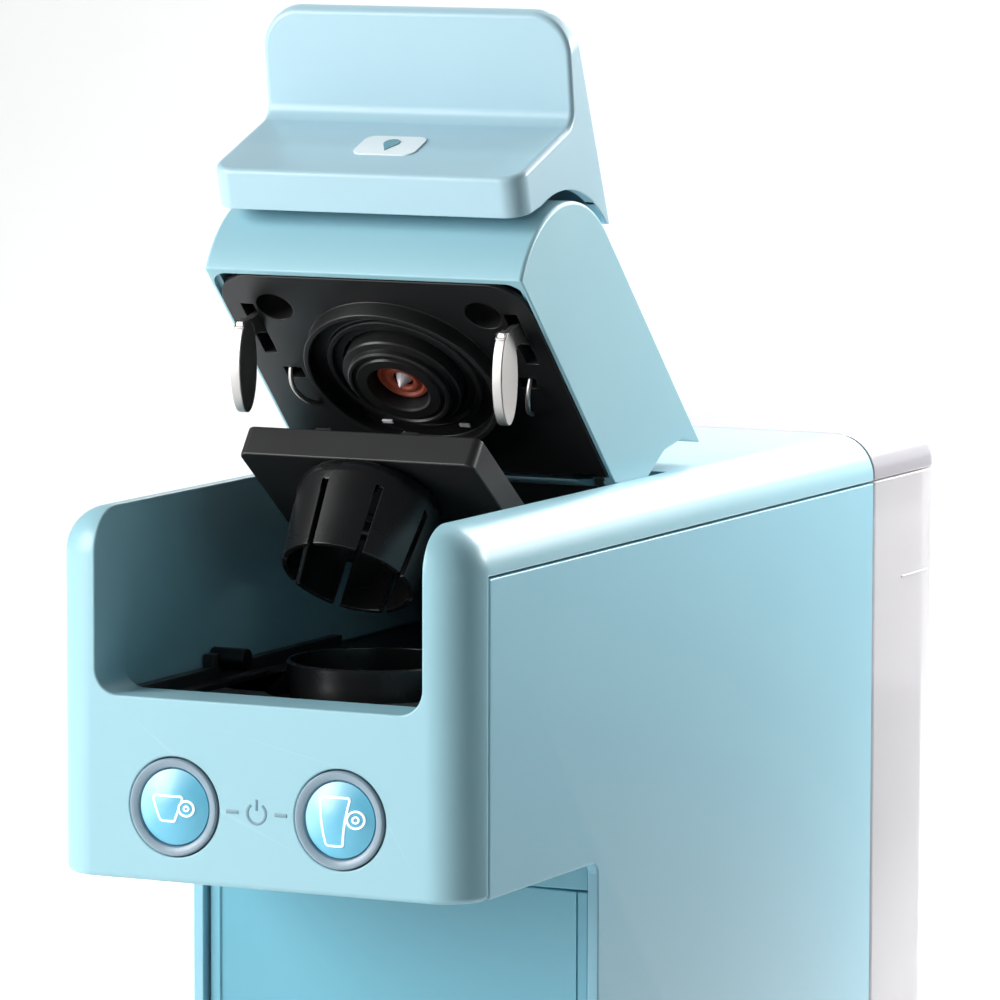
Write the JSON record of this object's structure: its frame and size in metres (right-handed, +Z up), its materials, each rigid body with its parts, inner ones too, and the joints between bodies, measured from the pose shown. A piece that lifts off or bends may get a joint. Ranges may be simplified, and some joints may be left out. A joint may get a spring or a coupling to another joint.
{
  "type": "pod coffee machine",
  "caption": "Slim pod coffee machine with a lever-operated brewing head that tilts open over a chamber in its top, a rear water tank and a front drawer with drip tray.",
  "frame": {"origin": "middle of the machine's footprint, at the table", "axes": "+Z up, -Y is the front with the buttons, +X is the viewer's right facing the front"},
  "size_m": [0.1, 0.298, 0.3697],
  "materials": {
    "blue_plastic": "satin gloss moulded ABS, pale aqua blue",
    "black_plastic": "black moulded nylon, fine texture",
    "grey_plastic": "satin grey moulded ring",
    "button_plastic": "polished translucent blue",
    "steel": "pressed and polished steel",
    "red_silicone": "moulded silicone",
    "white_plastic": "glossy off-white moulding",
    "clear_tank": "clear slightly milky plastic",
    "rubber": "moulded rubber",
    "circuit_board": "glass fibre board",
    "hose": "translucent silicone tube"
  },
  "bodies": {
    "root": {"base": "blue_plastic", "foot_front_left": "rubber", "foot_front_right": "rubber", "foot_rear_left": "rubber", "foot_rear_right": "rubber", "main_shell": "blue_plastic", "side_panel_left": "blue_plastic", "side_panel_right": "blue_plastic", "chamber_tub": "black_plastic", "catch_pin_left": "steel", "catch_pin_right": "steel", "head_axle": "steel", "carrier_axle": "steel", "spout": "black_plastic", "button_ring_left": "grey_plastic", "button_ring_right": "grey_plastic", "button_board": "circuit_board", "column_trim": "blue_plastic", "chassis": "black_plastic", "rear_wall": "black_plastic", "pump": "grey_plastic", "pump_mount": "rubber", "boiler": "steel", "flow_meter": "white_plastic", "control_board": "circuit_board", "inlet_hose": "hose", "suction_hose": "hose", "pressure_hose": "hose", "brew_hose": "hose", "tank_socket": "black_plastic", "cord_gland": "rubber"},
    "head": {"head_shell": "blue_plastic", "head_plate": "black_plastic", "brew_piston": "black_plastic", "piston_seal": "red_silicone", "piercing_needle": "white_plastic", "head_screw_left": "steel", "head_screw_right": "steel", "head_yoke": "steel"},
    "lever": {"lever_shell": "blue_plastic", "lever_yoke": "steel", "hook_left": "steel", "hook_right": "steel", "lever_badge": "white_plastic"},
    "carrier": {"carrier_frame": "black_plastic", "capsule_crown": "black_plastic"},
    "lift_cup": {"lift_cup": "black_plastic"},
    "button_left": {"button_left": "button_plastic"},
    "button_right": {"button_right": "button_plastic"},
    "tank": {"tank": "clear_tank", "tank_valve": "white_plastic"},
    "tank_lid": {"tank_lid": "white_plastic"},
    "drawer": {"capsule_bin": "black_plastic", "drawer_front": "blue_plastic", "drip_tray": "black_plastic"},
    "grille": {"tray_grille": "steel"},
    "power_switch": {"power_switch": "black_plastic"}
  },
  "joints": [
    {"name": "head_tilt", "type": "hinge", "parent": "root", "child": "head", "pos_m": [0, 0.024, 0.2416], "axis": [1, 0, 0], "range_deg": [0, 45]},
    {"name": "lever_turn", "type": "hinge", "parent": "head", "child": "lever", "pos_m": [0, -0.03985, 0.30163], "axis": [1, 0, 0], "range_deg": [0, 24.3]},
    {"name": "carrier_swing", "type": "hinge", "parent": "root", "child": "carrier", "pos_m": [0, 0.0134, 0.2416], "axis": [1, 0, 0], "range_deg": [0, 37.01]},
    {"name": "lift_cup_slide", "type": "slide", "parent": "root", "child": "lift_cup", "axis": [0, 0, -1], "range_m": [0, 0.0295]},
    {"name": "button_left_press", "type": "slide", "parent": "root", "child": "button_left", "axis": [0, 1, 0], "range_m": [0, 0.0015], "stiffness_N_per_m": 900},
    {"name": "button_right_press", "type": "slide", "parent": "root", "child": "button_right", "axis": [0, 1, 0], "range_m": [0, 0.0015], "stiffness_N_per_m": 900},
    {"name": "tank_lift", "type": "slide", "parent": "root", "child": "tank", "axis": [0, 0, 1], "range_m": [0, 0.12]},
    {"name": "tank_lid_open", "type": "hinge", "parent": "tank", "child": "tank_lid", "pos_m": [0, 0.148, 0.264], "axis": [1, 0, 0], "range_deg": [-100, 0]},
    {"name": "drawer_slide", "type": "slide", "parent": "root", "child": "drawer", "axis": [0, -1, 0], "range_m": [0, 0.09]},
    {"name": "grille_lift", "type": "slide", "parent": "drawer", "child": "grille", "axis": [0, 0, 1], "range_m": [0, 0.03]},
    {"name": "power_rock", "type": "hinge", "parent": "root", "child": "power_switch", "pos_m": [0, 0.144, 0.012], "axis": [1, 0, 0], "range_deg": [0, 14]}
  ],
  "couplings": [
    {"joint": "carrier_swing", "follows": "head_tilt", "ratio": 0.82222},
    {"joint": "lift_cup_slide", "follows": "head_tilt", "m_per_rad": 0.037548}
  ]
}
